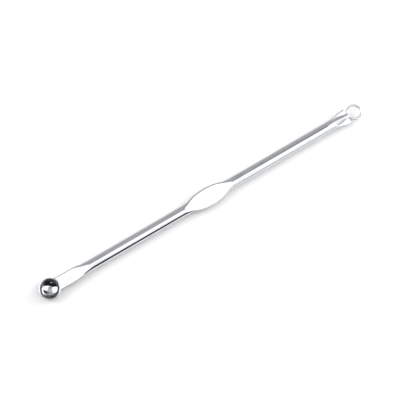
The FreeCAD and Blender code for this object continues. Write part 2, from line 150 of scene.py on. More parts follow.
def closed_even_profile(corners: Array, count: int, ease: float) -> Array:
    """Closed profile with evenly spaced points and every corner eased as polishing eases it.

    The profile is first divided into short equal steps, then each point is replaced by the average of its
    neighbours, weighted by a bell curve whose spread is ease, and the result is divided again.

    Args:
        corners: Points of the closed profile, of shape (n, 2).
        count: Number of points wanted.
        ease: Spread of the bell curve along the profile.

    Returns:
        Array of shape (count, 2).
    """
    short_steps = count * SHORT_STEPS
    fine = divide_closed(corners, short_steps)
    step = lengths(np.diff(fine, axis=0, append=fine[:1])).sum() / short_steps
    offset = (np.arange(short_steps) + short_steps // 2) % short_steps - short_steps // 2
    bell = np.exp(-0.5 * (offset * step / ease) ** 2)
    bell /= bell.sum()
    spectrum = np.fft.fft(bell)[:, None] * np.fft.fft(fine, axis=0)
    return divide_closed(np.real(np.fft.ifft(spectrum, axis=0)), count)


@dataclass
class Grid:
    """Surface over a grid of points, in millimetres.

    Columns run round the surface and close on themselves. Rows run along it, and close on themselves as well
    unless two poles close the ends. With the rows' direction to the front and the columns turning left, faces
    point outwards.
    """

    points: Array
    poles: Sequence[Array] = ()

    def cells(self) -> tuple[Array, Array]:
        """Row and column of each four-sided face."""
        rows, columns = self.points.shape[:2]
        return np.divmod(np.arange((rows - bool(self.poles)) * columns), columns)

    def quads(self) -> Array:
        """Corner numbers of the four-sided faces.

        Returns:
            Array of shape (faces, 4).
        """
        rows, columns = self.points.shape[:2]
        row, column = self.cells()
        here, ahead = row * columns, (row + 1) % rows * columns
        beside = (column + 1) % columns
        return np.stack([here + column, here + beside, ahead + beside, ahead + column], axis=1)

    def fans(self) -> Array:
        """Corner numbers of the triangles that close the ends at their poles.

        Returns:
            Array of shape (faces, 3).
        """
        if not self.poles:
            return np.zeros((0, 3), int)
        rows, columns = self.points.shape[:2]
        column = np.arange(columns)
        beside = (column + 1) % columns
        pole, edge = np.full(columns, rows * columns), (rows - 1) * columns
        corners = [(pole, beside, column), (edge + column, edge + beside, pole + 1)]
        return np.vstack([np.stack(fan, axis=1) for fan in corners])

    def vertices(self) -> Array:
        """All points, with the poles after the grid's own."""
        return np.vstack([self.points.reshape(-1, 3), *self.poles])

    def surface_map(self) -> Array:
        """Place of each corner of the quads on the surface: way round and way along, both in millimetres.

        The way round is the column's share of the widest row's length, and the way along is the mean length
        of the rows' steps so far. The last column runs on past the seam, so that no face turns back.

        Returns:
            Array of shape (4 times the faces, 2).
        """
        columns = self.points.shape[1]
        steps = lengths(np.diff(self.points, axis=0, append=self.points[:1])).mean(axis=1)
        along = np.concatenate([[0.0], np.cumsum(steps)])
        around = lengths(np.diff(self.points, axis=1, append=self.points[:, :1])).sum(axis=1).max()
        row, column = self.cells()
        low, high = column / columns * around, (column + 1) / columns * around
        near, far = along[row], along[row + 1]
        return np.stack([low, near, high, near, high, far, low, far], axis=1).reshape(-1, 2)

    def bend(self) -> Array:
        """Curvature of the surface at each vertex, in 1/mm.

        It is the change of the unit normal over the distance, towards the next column and towards the next
        row, whichever is more. The normal is the cross product of the two central differences.

        Returns:
            Array with one value for each vertex; the poles get 0.
        """
        points = self.points
        around = np.roll(points, -1, axis=1) - np.roll(points, 1, axis=1)
        along = np.gradient(points, axis=0)
        if not self.poles:
            along = np.roll(points, -1, axis=0) - np.roll(points, 1, axis=0)
        normal = np.cross(around, along)
        normal /= np.maximum(lengths(normal), TINY)[..., None]
        next_column = lengths(np.roll(points, -1, axis=1) - points)
        next_row = lengths(np.diff(points, axis=0, append=points[-1:] + 1.0))
        across = lengths(np.roll(normal, -1, axis=1) - normal) / np.maximum(next_column, TINY)
        lengthwise = lengths(np.diff(normal, axis=0, append=normal[-1:])) / np.maximum(next_row, TINY)
        return np.concatenate([np.maximum(across, lengthwise).ravel(), np.zeros(len(self.poles))])

    def volume(self) -> float:
        """Volume inside: the sum over the triangles of their corners' triple product over six.

        Returns:
            Volume in cubic millimetres, above 0 where the faces point outwards.
        """
        quads = self.quads()
        triangles = np.vstack([quads[:, [0, 1, 2]], quads[:, [0, 2, 3]], self.fans()])
        first, second, third = (self.vertices()[corner] for corner in triangles.T)
        return float((np.cross(first, second) * third).sum() / 6.0)


def link_object(name: str, data: bpy.types.ID) -> bpy.types.Object:
    """Put a mesh, lamp or camera into the scene.

    Args:
        name: Name of the object.
        data: What it holds.

    Returns:
        The object, at the origin.
    """
    item = bpy.data.objects.new(name, data)
    bpy.context.scene.collection.objects.link(item)
    return item


def make_piece(
    name: str, grids: Sequence[Grid], nodes: Sequence[str], material: bpy.types.Material
) -> None:
    """Make one finished object from one or more closed grids, riding on the tool's body.

    The mesh gets a "Surface" UV map and a "bend" attribute, which the finishes read.

    Args:
        name: Name of the piece.
        grids: Surfaces of its separate solids.
        nodes: CAD nodes that it stands for.
        material: What it is dressed in.
    """
    points = [grid.vertices() for grid in grids]
    firsts = np.cumsum([0, *map(len, points[:-1])])
    place = np.vstack(points) * MM
    four = np.vstack([grid.quads() + first for grid, first in zip(grids, firsts)])
    three = np.vstack([grid.fans() + first for grid, first in zip(grids, firsts)])
    corners = np.concatenate([four.ravel(), three.ravel()])
    starts = np.concatenate([np.arange(len(four)) * 4, four.size + np.arange(len(three)) * 3])
    on_surface = np.vstack([*(grid.surface_map() for grid in grids), np.zeros((three.size, 2))])
    bends = np.concatenate([grid.bend() for grid in grids])

    mesh = bpy.data.meshes.new(name)
    mesh.vertices.add(len(place))
    mesh.vertices.foreach_set("co", place.astype(np.float32).ravel())
    mesh.loops.add(len(corners))
    mesh.loops.foreach_set("vertex_index", corners.astype(np.int32))
    mesh.polygons.add(len(starts))
    mesh.polygons.foreach_set("loop_start", starts.astype(np.int32))
    mesh.update(calc_edges=True)
    surface = mesh.uv_layers.new(name="Surface")
    surface.data.foreach_set("uv", on_surface.astype(np.float32).ravel())
    bend = mesh.attributes.new("bend", "FLOAT", "POINT")
    bend.data.foreach_set("value", bends.astype(np.float32))
    mesh.polygons.foreach_set("use_smooth", np.ones(len(starts), bool))
    mesh.set_sharp_from_angle(angle=SHARP_ANGLE)
    mesh.validate()

    piece = link_object(name, mesh)
    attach(piece, BODY)
    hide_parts(*nodes)
    mesh.materials.append(material)
    log.info("%s: %d faces, stands for %s", name, len(starts), ", ".join(nodes))


# --- Places that come from the frame ---


@dataclass(frozen=True)
class Places:
    """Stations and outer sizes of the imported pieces, in millimetres."""

    cup_x: float
    cup_radius: float
    cup_top: float
    rod_radius: float
    handle_end: float
    stem_start: float
    stem_radius: float
    loop_x: float
    loop_outer: float
    wire_radius: float
    grip_half_width: float

    @classmethod
    def from_frame(cls) -> Places:
        """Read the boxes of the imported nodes.

        Returns:
            The places.
        """
        cup_low, cup_high = (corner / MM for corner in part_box("cup"))
        _, handle_high = (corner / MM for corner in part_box("handle"))
        stem_low, stem_high = (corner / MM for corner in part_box("loop_stem"))
        ring_low, ring_high = (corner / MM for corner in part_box("loop_ring"))
        return cls(
            cup_x=(cup_low.x + cup_high.x) / 2,
            cup_radius=(cup_high.x - cup_low.x) / 2,
            cup_top=cup_high.z,
            rod_radius=handle_high.z / 2,
            handle_end=handle_high.x,
            stem_start=stem_low.x,
            stem_radius=(stem_high.z - stem_low.z) / 2,
            loop_x=(ring_low.x + ring_high.x) / 2,
            loop_outer=(ring_high.x - ring_low.x) / 2,
            wire_radius=(ring_high.z - ring_low.z) / 2,
            grip_half_width=handle_high.y,
        )


# --- Node trees and shared effects ---


class Tree:
    """Node tree with short ways to add nodes and links."""

    def __init__(self, tree: bpy.types.NodeTree) -> None:
        """Take over a node tree and empty it."""
        tree.nodes.clear()
        self.nodes, self.links = tree.nodes, tree.links

    @classmethod
    def of(cls, owner: bpy.types.Material | bpy.types.World) -> Tree:
        """Empty node tree of a material or of a world."""
        owner.use_nodes = True
        return cls(owner.node_tree)

    def add(
        self, kind: str, inputs: dict[str | int, object] | None = None, **settings: object
    ) -> bpy.types.Node:
        """Add a node, set its properties, and set or link its inputs.

        Args:
            kind: Type of the node.
            inputs: For each input, a socket to link from or a plain value.
            settings: Properties of the node.

        Returns:
            The node.
        """
        node = self.nodes.new(kind)
        for name, setting in settings.items():
            setattr(node, name, setting)
        for name, source in (inputs or {}).items():
            if isinstance(source, Socket):
                self.links.new(source, node.inputs[name])
            else:
                node.inputs[name].default_value = source
        return node

    def math(self, operation: str, *sources: object) -> Socket:
        """Result of a Math node over sockets or numbers."""
        return self.add("ShaderNodeMath", dict(enumerate(sources)), operation=operation).outputs[0]

    def total(self, operation: str, *sources: object) -> Socket:
        """Result of Math nodes that take in one source after another."""
        return reduce(lambda result, source: self.math(operation, result, source), sources)

    def vector(self, operation: str, *sources: object, output: str = "Vector") -> Socket:
        """Result of a Vector Math node over sockets or vectors."""
        return self.add("ShaderNodeVectorMath", dict(enumerate(sources)), operation=operation).outputs[output]

    def part(self, vector: Socket, axis: str) -> Socket:
        """One part of a vector."""
        return self.add("ShaderNodeSeparateXYZ", {0: vector}).outputs[axis]

    def noise(
        self, place: Socket, scale: float, detail: float, roughness: float = 0.5, output: str = "Fac"
    ) -> Socket:
        """Noise over a place."""
        inputs = {"Vector": place, "Scale": scale, "Detail": detail, "Roughness": roughness}
        return self.add("ShaderNodeTexNoise", inputs).outputs[output]

    def ramp(self, value: Socket, *span: object, curve: str = "LINEAR") -> Socket:
        """Value carried from one span to another, which is 0 to 1 if not given, and held at its ends."""
        inputs = dict(enumerate((value, *span)))
        return self.add("ShaderNodeMapRange", inputs, interpolation_type=curve).outputs[0]

    def mix(self, share: Socket, low: Socket | Triple, high: Triple) -> Socket:
        """Mix of two colours, whose sockets go by number, because their names stand for other kinds too.

        Args:
            share: How much of the second colour.
            low: First colour, as a socket or three numbers.
            high: Second colour.

        Returns:
            The mixed colour.
        """
        first = low if isinstance(low, Socket) else (*low, 1.0)
        inputs = {0: share, MIX_COLOURS[0]: first, MIX_COLOURS[1]: (*high, 1.0)}
        return self.add("ShaderNodeMix", inputs, data_type="RGBA").outputs[MIX_RESULT]

    def bump(self, height: Socket, depth: float, **under: Socket) -> Socket:
        """Normal of a bump, over the surface or over another bump that is given as Normal."""
        inputs = {"Height": height, "Distance": depth, "Strength": 1.0, **under}
        return self.add("ShaderNodeBump", inputs).outputs[0]

    def effect(
        self, group: bpy.types.NodeTree, place: Socket, values: dict[str, object] | None = None
    ) -> bpy.types.bpy_prop_collection:
        """Outputs of a shared effect that is placed with its own values."""
        return self.add("ShaderNodeGroup", {"Vector": place, **(values or {})}, node_tree=group).outputs


class Effect(Tree):
    """Shader node group in the making, with named inputs and outputs."""

    def __init__(self, name: str, inputs: dict[str, float | Triple | None]) -> None:
        """Start the group with its inputs.

        Args:
            name: Name of the group.
            inputs: Default of each input: a number, a vector, or None for a vector that is always linked.
        """
        self.group = bpy.data.node_groups.new(name, "ShaderNodeTree")
        super().__init__(self.group)
        for label, default in inputs.items():
            kind = "NodeSocketFloat" if isinstance(default, float) else "NodeSocketVector"
            socket = self.group.interface.new_socket(name=label, in_out="INPUT", socket_type=kind)
            if default is not None:
                socket.default_value = default
        self.given = self.add("NodeGroupInput").outputs

    def closed(self, **results: Socket) -> bpy.types.NodeTree:
        """Name the group's outputs and link them.

        Args:
            results: Value of each output.

        Returns:
            The group.
        """
        for label in results:
            self.group.interface.new_socket(name=label, in_out="OUTPUT", socket_type="NodeSocketFloat")
        sink = self.add("NodeGroupOutput")
        for label, result in results.items():
            self.links.new(result, sink.inputs[label])
        return self.group


def make_polish_marks() -> bpy.types.NodeTree:
    """Group: fine marks that polishing leaves, long one way and narrow the other.

    The vector is divided by the marks' length and width, so that plain noise comes out as long thin streaks.

    Returns:
        The group, with a Height and a Mask output.
    """
    middle, marked = 0.5, (0.06, 0.22)
    effect = Effect("Polish Marks", {"Vector": None, "Mark Size": (1.0, 1.0, 1.0)})
    stretched = effect.vector("DIVIDE", effect.given["Vector"], effect.given["Mark Size"])
    height = effect.math("SUBTRACT", effect.noise(stretched, scale=1.0, detail=5.0, roughness=0.62), middle)
    return effect.closed(Height=height, Mask=effect.ramp(height, *marked))


def make_smudges() -> bpy.types.NodeTree:
    """Group: soft patches, such as those that handling leaves on polished metal.

    Broad noise, warped by a second noise, is cut at a threshold and given a soft border. The threshold comes
    down by half of the cover.

    Returns:
        The group, with a Mask output.
    """
    bare_from, border = 0.75, 0.22
    effect = Effect("Smudges", {"Vector": None, "Size": 1.0, "Cover": 0.5})
    scaled = effect.vector("DIVIDE", effect.given["Vector"], effect.given["Size"])
    warp = effect.noise(scaled, scale=0.7, detail=2.0, output="Color")
    warped = effect.vector("ADD", scaled, warp)
    noise = effect.noise(warped, scale=1.0, detail=4.0, roughness=0.55)
    low = effect.math("SUBTRACT", bare_from, effect.math("MULTIPLY", effect.given["Cover"], 0.5))
    high = effect.math("ADD", low, border)
    return effect.closed(Mask=effect.ramp(noise, low, high, curve="SMOOTHSTEP"))


def make_edge_wear() -> bpy.types.NodeTree:
    """Group: where edges are rubbed, read from the curvature that the pieces carry.

    The curvature is compared with a limit, and broken up by small noise.

    Returns:
        The group, with a Mask output.
    """
    noise_span, left_span = (0.35, 0.65), (0.45, 1.0)
    effect = Effect("Edge Wear", {"Vector": None, "Bend From": 1.0, "Bend To": 3.0})
    bend = effect.add("ShaderNodeAttribute", attribute_name="bend").outputs["Fac"]
    rubbed = effect.ramp(bend, effect.given["Bend From"], effect.given["Bend To"])
    grain = effect.noise(effect.given["Vector"], scale=1400.0, detail=3.0)
    broken = effect.ramp(grain, *noise_span, *left_span)
    return effect.closed(Mask=effect.math("MULTIPLY", rubbed, broken))


def make_dust() -> bpy.types.NodeTree:
    """Group: a few specks of dust on what faces up.

    Round spots come from the distance to the nearest of many scattered points; the upward part of the surface
    normal keeps them off the underside.

    Returns:
        The group, with a Mask output.
    """
    upward_span = (0.2, 0.8)
    effect = Effect("Dust", {"Vector": None, "Spacing": 0.001, "Speck": 0.05})
    scaled = effect.vector("DIVIDE", effect.given["Vector"], effect.given["Spacing"])
    cells = effect.add("ShaderNodeTexVoronoi", {"Vector": scaled, "Scale": 1.0, "Randomness": 1.0})
    speck = effect.given["Speck"]
    spot = effect.ramp(cells.outputs["Distance"], effect.math("MULTIPLY", speck, 0.5), speck, 1.0, 0.0)
    upward = effect.part(effect.add("ShaderNodeNewGeometry").outputs["Normal"], "Z")
    return effect.closed(Mask=effect.math("MULTIPLY", spot, effect.ramp(upward, *upward_span)))


def make_bowl_painted_shade() -> bpy.types.NodeTree:
    """Group: painted shade, a dark ring in the hollow of a cup.

    A ring between two distances from an upright axis, above a height. It fades out on the side of the
    cup's tip, where the direction from the axis is near unshaded_side.

    Returns:
        The group, with a Mask output.
    """
    unshaded_side, unshaded_span = (-0.981, 0.191, 0.0), (0.62, 0.97)
    noise_span, left_span = (0.3, 0.7), (0.75, 1.0)
    sizes = {"From": 0.002, "To": 0.003, "Above": 0.001, "Fade": 0.0001}
    effect = Effect("Bowl Painted Shade", {"Vector": None, "Axis": None, **sizes})
    given = effect.given
    offset = effect.vector("SUBTRACT", given["Vector"], given["Axis"])
    level = effect.vector("MULTIPLY", offset, (1.0, 1.0, 0.0))
    distance = effect.vector("LENGTH", level, output="Value")
    tipward = effect.vector("DOT_PRODUCT", effect.vector("NORMALIZE", level), unshaded_side, output="Value")
    limits = [(distance, given["From"]), (given["To"], distance), (effect.part(offset, "Z"), given["Above"])]
    inside = [effect.math("DIVIDE", effect.math("SUBTRACT", *pair), given["Fade"]) for pair in limits]
    # painted shade: the dark ring in the cup's hollow
    ring = effect.ramp(effect.total("MINIMUM", *inside), 0.0, 1.0)
    # the painted shade fades out towards the cup's tip
    left = effect.ramp(tipward, *unshaded_span, 1.0, 0.0)
    grain = effect.noise(given["Vector"], scale=1800.0, detail=3.0)
    broken = effect.ramp(grain, *noise_span, *left_span)
    return effect.closed(Mask=effect.total("MULTIPLY", ring, left, broken))


def make_rubbed_streaks() -> bpy.types.NodeTree:
    """Group: short faint streaks along the tool, on the stretch before a station.

    Noise drawn out along X, cut off at a limit, and faded out where X passes the station.

    Returns:
        The group, with a Mask output.
    """
    streaked = (0.52, 0.64)
    sizes = {"Streak Size": (0.0022, 0.00028, 0.00028), "Until": 0.0, "Fade": 0.002}
    effect = Effect("Rubbed Streaks", {"Vector": None, **sizes})
    given = effect.given
    scaled = effect.vector("DIVIDE", given["Vector"], given["Streak Size"])
    streak = effect.ramp(effect.noise(scaled, scale=1.0, detail=2.0), *streaked)
    short_of = effect.math("SUBTRACT", given["Until"], effect.part(given["Vector"], "X"))
    before = effect.ramp(effect.math("DIVIDE", short_of, given["Fade"]), 0.0, 1.0)
    return effect.closed(Mask=effect.math("MULTIPLY", streak, before))


@dataclass(frozen=True)
class EffectGroups:
    """The shared effects, each built once."""

    polish_marks: bpy.types.NodeTree = field(default_factory=make_polish_marks)
    smudges: bpy.types.NodeTree = field(default_factory=make_smudges)
    edge_wear: bpy.types.NodeTree = field(default_factory=make_edge_wear)
    dust: bpy.types.NodeTree = field(default_factory=make_dust)
    # painted shade: dark ring in a cup's hollow
    bowl_painted_shade: bpy.types.NodeTree = field(default_factory=make_bowl_painted_shade)
    rubbed_streaks: bpy.types.NodeTree = field(default_factory=make_rubbed_streaks)


# --- Finishes ---


class MarkCourse(Enum):
    """What the polishing marks follow."""

    ALONG_TOOL = "Object"
    ROUND_PIECE = "UV"


@dataclass(frozen=True)
class PaintedShade:
    """Where a cup gets painted shade, a dark ring in its hollow, in metres."""

    axis: Triple
    start: float
    end: float
    above: float
    fade: float = 0.00006
    # dark colour of the painted shade
    tone: Triple = (0.10, 0.10, 0.11)

    def values(self) -> dict[str, object]:
        """Values for the effect's inputs."""
        return {"Axis": self.axis, "From": self.start, "To": self.end, "Above": self.above, "Fade": self.fade}


@dataclass(frozen=True)
class MetalFinish:
    """Bare metal with polishing marks, smudges, rubbed edges, a little dust and, where given, painted shade
    in a cup's hollow.

    Sizes are in millimetres; roughness values are the shader's own.
    """

    name: str
    clean_tone: Triple
    dull_tone: Triple
    edge_tone: Triple
    roughness: float
    smudge_roughness: float
    edge_roughness: float
    mark_size: Triple
    mark_course: MarkCourse
    mark_depth: float
    smudge_size: float
    smudge_cover: float
    dust_spacing: float
    wave_size: float
    wave_depth: float
    mark_share: float = 0.25
    mark_roughness: float = 0.03
    dust_share: float = 0.6
    dust_tone: Triple = (0.45, 0.44, 0.42)
    streak_tone: Triple = (0.47, 0.50, 0.58)
    # painted shade: a dark ring in a cup's hollow, where given
    painted_shade: PaintedShade | None = None
    streaks_until: float | None = None

    def build(self, groups: EffectGroups) -> bpy.types.Material:
        """Make the material.

        Args:
            groups: The shared effects.

        Returns:
            The material.
        """
        material = bpy.data.materials.new(self.name)
        tree = Tree.of(material)
        coordinates = tree.add("ShaderNodeTexCoord").outputs
        place, course = coordinates["Object"], coordinates[self.mark_course.value]
        to_metres = MM if self.mark_course is MarkCourse.ALONG_TOOL else 1.0
        mark_size = [size * to_metres for size in self.mark_size]
        marks = tree.effect(groups.polish_marks, course, {"Mark Size": mark_size})
        smudge_sizes = {"Size": self.smudge_size * MM, "Cover": self.smudge_cover}
        smudged = tree.effect(groups.smudges, place, smudge_sizes)["Mask"]
        worn = tree.effect(groups.edge_wear, place)["Mask"]
        dusty = tree.effect(groups.dust, place, {"Spacing": self.dust_spacing * MM})["Mask"]

        tone = tree.mix(smudged, self.clean_tone, self.dull_tone)
        tone = tree.mix(tree.math("MULTIPLY", marks["Mask"], self.mark_share), tone, self.dull_tone)
        tone = tree.mix(worn, tone, self.edge_tone)
        if self.streaks_until is not None:
            streaks = tree.effect(groups.rubbed_streaks, place, {"Until": self.streaks_until * MM})
            tone = tree.mix(streaks["Mask"], tone, self.streak_tone)
        # painted shade: the cup's dark ring, mixed into the colour
        if self.painted_shade is not None:
            bowl_shade = tree.effect(groups.bowl_painted_shade, place, self.painted_shade.values())
            tone = tree.mix(bowl_shade["Mask"], tone, self.painted_shade.tone)
        tone = tree.mix(tree.math("MULTIPLY", dusty, self.dust_share), tone, self.dust_tone)

        in_smudges = tree.ramp(smudged, 0.0, 1.0, self.roughness, self.smudge_roughness)
        at_edges = tree.math("MULTIPLY", worn, self.edge_roughness - self.roughness)
        in_marks = tree.math("MULTIPLY", marks["Mask"], self.mark_roughness)
        waves = tree.noise(place, scale=1.0 / (self.wave_size * MM), detail=1.0)
        waved = tree.bump(waves, self.wave_depth * MM)
        inputs = {
            "Base Color": tone,
            "Roughness": tree.total("ADD", in_smudges, at_edges, in_marks),
            "Metallic": 1.0,
            "Normal": tree.bump(marks["Height"], self.mark_depth * MM, Normal=waved),
        }
        shader = tree.add("ShaderNodeBsdfPrincipled", inputs)
        tree.add("ShaderNodeOutputMaterial", {"Surface": shader.outputs[0]})
        return material


@dataclass
class Finishes:
    """The materials of the tool."""

    # painted shade: dark ring in the cup's hollow
    bowl_painted_shade: PaintedShade
    streaks_until: float
    groups: EffectGroups = field(default_factory=EffectGroups)

    def __post_init__(self) -> None:
        """Build each material."""
        steel = dict(
            clean_tone=(0.62, 0.63, 0.65),
            dull_tone=(0.53, 0.55, 0.60),
            edge_tone=(0.64, 0.65, 0.67),
            roughness=0.055,
            smudge_roughness=0.085,
            edge_roughness=0.10,
            mark_depth=0.0004,
            smudge_size=4.0,
            smudge_cover=0.45,
            dust_spacing=1.9,
            wave_size=1.6,
            wave_depth=0.0006,
        )
        self.handle_steel = MetalFinish(
            name="Handle Steel",
            mark_size=(3.5, 0.06, 0.06),
            mark_course=MarkCourse.ALONG_TOOL,
            streaks_until=self.streaks_until,
            **steel,
        ).build(self.groups)
        self.turned_steel = MetalFinish(
            name="Turned Steel",
            mark_size=(3.0, 0.05, 1.0),
            mark_course=MarkCourse.ROUND_PIECE,
            # the cup's painted shade
            painted_shade=self.bowl_painted_shade,
            **steel,
        ).build(self.groups)
        self.braze = MetalFinish(
            name="Silver Braze",
            clean_tone=(0.61, 0.61, 0.60),
            dull_tone=(0.50, 0.49, 0.47),
            edge_tone=(0.63, 0.63, 0.62),
            roughness=0.16,
            smudge_roughness=0.26,
            edge_roughness=0.20,
            mark_size=(0.25, 0.25, 0.25),
            mark_course=MarkCourse.ALONG_TOOL,
            mark_depth=0.004,
            smudge_size=0.6,
            smudge_cover=0.5,
            dust_spacing=1.2,
            wave_size=0.5,
            wave_depth=0.004,
        ).build(self.groups)


# --- Handle ---


@dataclass(frozen=True)
class PressedZone:
    """Stretch of the rod that is pressed flat, with a run-out at one or both ends."""

    flat_from: float
    flat_to: float
    half_height: float
    corner: float
    runout: float
    corner_course: float

    def distance(self, x: Array) -> Array:
        """Way from the flat's nearer end, 0 on the flat."""
        return np.maximum(np.maximum(self.flat_from - x, x - self.flat_to), 0.0)

    def height_at(self, x: Array, rod: float) -> Array:
        """Half height: level on the flat, then an arc that reaches the rod's radius at the run-out's end."""
        rise = rod - self.half_height
        return self.half_height + arc_drop(self.distance(x), (self.runout ** 2 + rise ** 2) / (2.0 * rise))

    def corner_at(self, x: Array, rod: float) -> Array:
        """Corner radius: small on the flat, growing to the rod's with a power of the run-out's share."""
        share = np.clip(self.distance(x) / self.runout, 0.0, 1.0)
        return self.corner + (rod - self.corner) * share ** self.corner_course


def rounded_box(
    angle: Array, half_width: Array | float, half_height: Array | float, corner: Array | float
) -> Array:
    """Distance from the middle of a rounded rectangle to its edge, in each direction.

    A direction first meets the upright side or the level face. Where that point lies past the start of the
    corner, the distance is to the corner's circle: with m the centre's part along the direction, it is m plus
    the root of m^2 less the centre's distance squared plus the corner radius squared.

    Args:
        angle: Directions, measured from the level axis.
        half_width: Half width of the rectangle.
        half_height: Half height of the rectangle.
        corner: Radius of its corners.

    Returns:
        The distance.
    """
    across, up = np.abs(np.cos(angle)), np.abs(np.sin(angle))
    straight = np.minimum(half_width / np.maximum(across, TINY), half_height / np.maximum(up, TINY))
    centre_across, centre_up = half_width - corner, half_height - corner
    middle = across * centre_across + up * centre_up
    inside = middle ** 2 - centre_across ** 2 - centre_up ** 2 + corner ** 2
    to_corner = middle + np.sqrt(np.maximum(inside, 0.0))
    in_corner = (straight * across > centre_across) & (straight * up > centre_up)
    return np.where(in_corner, to_corner, straight)


@dataclass
class Handle:
    """Round rod with a flat neck, a leaf-shaped grip and a fishtail, all pressed from the one piece."""

    places: Places
    neck_length: float = 5.0
    neck_half_width: float = 1.75
    neck_half_height: float = 1.1
    neck_corner: float = 0.19
    neck_corner_course: float = 1.8
    neck_runout: float = 6.2
    neck_easing: float = 2.0
    neck_shoulder_radius: float = 6.45
    neck_side_ease: float = 0.12
    neck_coped: float = 0.4
    neck_reach: float = 2.0
    grip_x: float = 0.95
    grip_half_height: float = 0.7
    grip_corner: float = 0.33
    grip_corner_course: float = 3.8
    grip_flat_half: float = 0.5
    grip_runout: float = 6.9
    grip_side_radius: float = 16.0
    grip_side_ease: float = 0.25
    press_ease: float = 0.05
    tail_length: float = 4.7
    tail_shoulder: float = 1.6
    tail_half_width: float = 2.1
    tail_half_height: float = 0.375
    tail_corner: float = 0.14
    tail_side_radius: float = 9.0
    ridge_clear: float = 0.8
    ridge_tip_radius: float = 0.82
    ridge_easing: float = 0.08
    polish: float = 0.10
    columns: int = 224
    column_crowding: float = 0.14
    row_counts: tuple[int, ...] = (12, 110, 20, 180, 20, 84)
    neck_fine: Point = (-2.4, 4.5)
    grip_fine: Point = (-8.2, 8.2)
    tail_fine: float = -0.3
    face_shares: Point = (0.1, 0.97)
    face_rows: int = 8

    def __post_init__(self) -> None:
        """Work out the pressed zones."""
        self.cup_wall = self.places.cup_x + self.places.cup_radius
        self.neck_end = self.cup_wall + self.neck_length
        self.tail_start = self.places.handle_end - self.tail_length
        self.neck = PressedZone(
            self.places.cup_x,
            self.neck_end - self.neck_easing,
            self.neck_half_height,
            self.neck_corner,
            self.neck_runout,
            self.neck_corner_course,
        )
        self.grip = PressedZone(
            self.grip_x - self.grip_flat_half,
            self.grip_x + self.grip_flat_half,
            self.grip_half_height,
            self.grip_corner,
            self.grip_runout,
            self.grip_corner_course,
        )

    def section(self, x: Array) -> tuple[Array, Array, Array]:
        """Sizes of the pressed rod's section, which is a rounded box.

        It is as wide as the rod, or as the neck or the leaf where that is wider: the neck's side is straight
        and then falls away on an arc, and the leaf's side is one arc. It is as high as the rod, less where
        the neck and the grip are pressed. Its corner has the rod's own radius where the rod is round.

        Args:
            x: Stations along the tool.

        Returns:
            Half width, half height and corner radius at each station.
        """
        rod = self.places.rod_radius
        neck = self.neck_half_width - arc_drop(np.maximum(x - self.neck_end, 0.0), self.neck_shoulder_radius)
        leaf = self.places.grip_half_width - arc_drop(x - self.grip_x, self.grip_side_radius)
        half_width = smooth_max(np.full_like(x, rod), neck, self.neck_side_ease)
        half_width = smooth_max(half_width, leaf, self.grip_side_ease)
        pressed = np.minimum(self.neck.height_at(x, rod), self.grip.height_at(x, rod))
        half_height = smooth_min(pressed, rod, self.press_ease)
        corner = np.minimum(self.neck.corner_at(x, rod), self.grip.corner_at(x, rod))
        return half_width, half_height, np.minimum(corner, half_height)

    def radius(self, x: Array, angle: Array) -> Array:
        """Distance from the rod's axis to the surface.

        The pressed rod is a rounded rectangle. At the fishtail a sloping face cuts it down, and two things
        stand out of what is left: the wings, a thin rounded rectangle whose side is an arc, and a ridge.

        Args:
            x: Stations, as a column.
            angle: Directions round the axis, as a row.

        Returns:
            Distance for each station and direction.
        """
        rod = rounded_box(angle, *self.section(x))
        slope = (self.places.rod_radius - self.tail_half_height) / self.tail_shoulder
        level = self.places.rod_radius - slope * (x - self.tail_start)
        level = smooth_max(level, self.tail_half_height, self.polish)
        cut = smooth_min(rod, level / np.maximum(np.abs(np.sin(angle)), TINY), self.polish)
        wing_half = self.tail_half_width - arc_drop(self.places.handle_end - x, self.tail_side_radius)
        wing_width = np.maximum(wing_half, 2.0 * self.tail_corner)
        wings = rounded_box(angle, wing_width, self.tail_half_height, self.tail_corner)
        return self.with_ridge(x, np.maximum(cut, np.where(wing_half > 0.0, wings, 0.0)))

    def with_ridge(self, x: Array, pressed: Array) -> Array:
        """Add the ridge, a cone that tapers from the rod to the pin, with a hollow easing at its foot.

        Args:
            x: Stations, as a column.
            pressed: Distance from the axis to the pressed surface.

        Returns:
            Distance from the axis to the surface with the ridge.
        """
        rod = self.places.rod_radius
        share = (x - self.tail_start) / (self.tail_length - self.ridge_clear)
        ridge = rod + (self.ridge_tip_radius - rod) * share
        eased = np.minimum(smooth_max(pressed, ridge, self.ridge_easing), np.maximum(pressed, rod))
        return np.where((share >= 0.0) & (share < 1.0), eased, pressed)

    def stations(self) -> Array:
        """Stations along the tool, close together where the section changes.

        Returns:
            Rising stations from the cup's wall to the fishtail's end.
        """
        stops = [
            self.cup_wall,
            *(self.neck_end + way for way in self.neck_fine),
            *(self.grip_x + way for way in self.grip_fine),
            self.tail_start + self.tail_fine,
            self.places.handle_end,
        ]
        spans = zip(stops, stops[1:], self.row_counts)
        rows = [np.linspace(low, high, count, endpoint=False) for low, high, count in spans]
        return np.concatenate([*rows, stops[-1:]])

